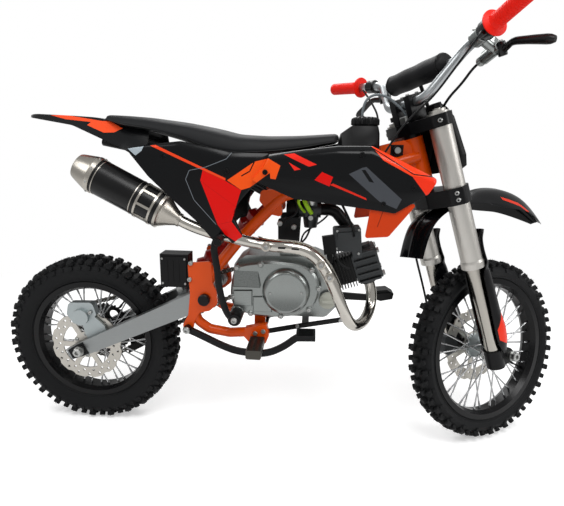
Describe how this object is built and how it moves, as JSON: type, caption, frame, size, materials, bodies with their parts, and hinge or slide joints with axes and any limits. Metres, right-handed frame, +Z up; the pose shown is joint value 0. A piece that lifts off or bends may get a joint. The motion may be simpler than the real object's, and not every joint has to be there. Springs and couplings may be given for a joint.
{
  "type": "off-road motorcycle",
  "caption": "small off-road motorcycle with lugged tyres on wire wheels, an upside-down fork, a twin-rail frame, a lying four-stroke engine and a black and orange body",
  "frame": {"origin": "the point of the seat where the rider sits, on its top and in the centre plane", "axes": "+X points forward along the machine, +Y to the rider's left, +Z up; the ground lies at Z = -0.779 m"},
  "size_m": [1.5108, 0.6093, 1.0504],
  "materials": {
    "bar_alloy": "satin anodised",
    "barrel_paint": "black stove paint",
    "black_paint": "satin black",
    "black_plastic": "moulded gloss black",
    "calliper_alloy": "hard anodised",
    "carb_alloy": "dark cast",
    "case_alloy": "light grey paint on castings",
    "chain": "oiled",
    "chrome": "hard chrome",
    "disc": "ground",
    "fasteners": "zinc plated",
    "fender_plastic": "moulded dark grey",
    "filter_foam": "black foam",
    "fork_alloy": "clear anodised",
    "frame_paint": "gloss orange",
    "grip_rubber": "soft orange",
    "guard_plastic": "moulded black",
    "head_alloy": "dark cast",
    "hub": "cast and machined",
    "lever_paint": "black",
    "orange_plastic": "moulded orange",
    "pad_cover": "padded black cover",
    "peg_steel": "cast steel",
    "polished_steel": "polished stainless",
    "rim": "gloss black",
    "rubber": "smooth black",
    "satin_alloy": "satin",
    "seat_cover": "matt black grained cover",
    "spring": "gloss red",
    "sprocket": "black",
    "tank_plastic": "moulded matt black",
    "tyre": "knobbed black rubber"
  },
  "bodies": {
    "frame": {"air_filter": "filter_foam", "axle_rear": "fasteners", "battery_box": "tank_plastic", "brake_pedal": "black_paint", "cables": "rubber", "calliper_rear": "calliper_alloy", "carburettor": "carb_alloy", "chain": "chain", "chain_guide": "tank_plastic", "clutch_cover": "case_alloy", "crankcase": "case_alloy", "cylinder_barrel": "barrel_paint", "cylinder_head": "head_alloy", "engine_hangers": "black_paint", "exhaust_header": "polished_steel", "footpegs": "peg_steel", "fuel_cap": "tank_plastic", "fuel_tank": "tank_plastic", "gear_lever": "black_paint", "intake_manifold": "rubber", "kick_starter": "black_paint", "left_covers": "case_alloy", "main_frame": "frame_paint", "pivot_bolts": "fasteners", "seat": "seat_cover", "shock": "spring", "shroud_fins": "orange_plastic", "shrouds": "black_plastic", "side_panels": "black_plastic", "silencer": "black_paint", "skid_plate": "black_paint", "sprocket_front": "sprocket", "subframe": "black_paint", "swingarm": "satin_alloy", "tail": "black_plastic"},
    "wheel_rear": {"tyre_rear": "tyre", "rim_rear": "rim", "hub_rear": "hub", "disc_rear": "disc", "sprocket_rear": "sprocket"},
    "steering": {"fork_outer_tubes": "fork_alloy", "fork_inner_tubes": "chrome", "axle_lugs": "black_paint", "fork_guards": "guard_plastic", "upper_clamp": "black_paint", "lower_clamp": "black_paint", "handlebar": "bar_alloy", "bar_clamps": "black_paint", "bar_pad": "pad_cover", "grips": "grip_rubber", "levers": "lever_paint", "fender_front": "fender_plastic", "number_plate": "tank_plastic", "calliper_front": "calliper_alloy", "axle_front": "fasteners", "brake_hose": "rubber"},
    "wheel_front": {"tyre_front": "tyre", "rim_front": "rim", "hub_front": "hub", "disc_front": "disc"}
  },
  "joints": [
    {"name": "rear_wheel_spin", "type": "hinge", "parent": "frame", "child": "wheel_rear", "pos_m": [-0.455, 0, -0.54703], "axis": [0, 1, 0], "continuous": true},
    {"name": "steering_turn", "type": "hinge", "parent": "frame", "child": "steering", "pos_m": [0.55389, 0, -0.55895], "axis": [-0.3156, 0, 0.9489], "range_deg": [-69.7, 10.3], "deforming": ["cables"]},
    {"name": "front_wheel_spin", "type": "hinge", "parent": "steering", "child": "wheel_front", "pos_m": [0.60697, 0.03191, -0.54129], "axis": [-0.4701, 0.8686, -0.1564], "continuous": true}
  ]
}
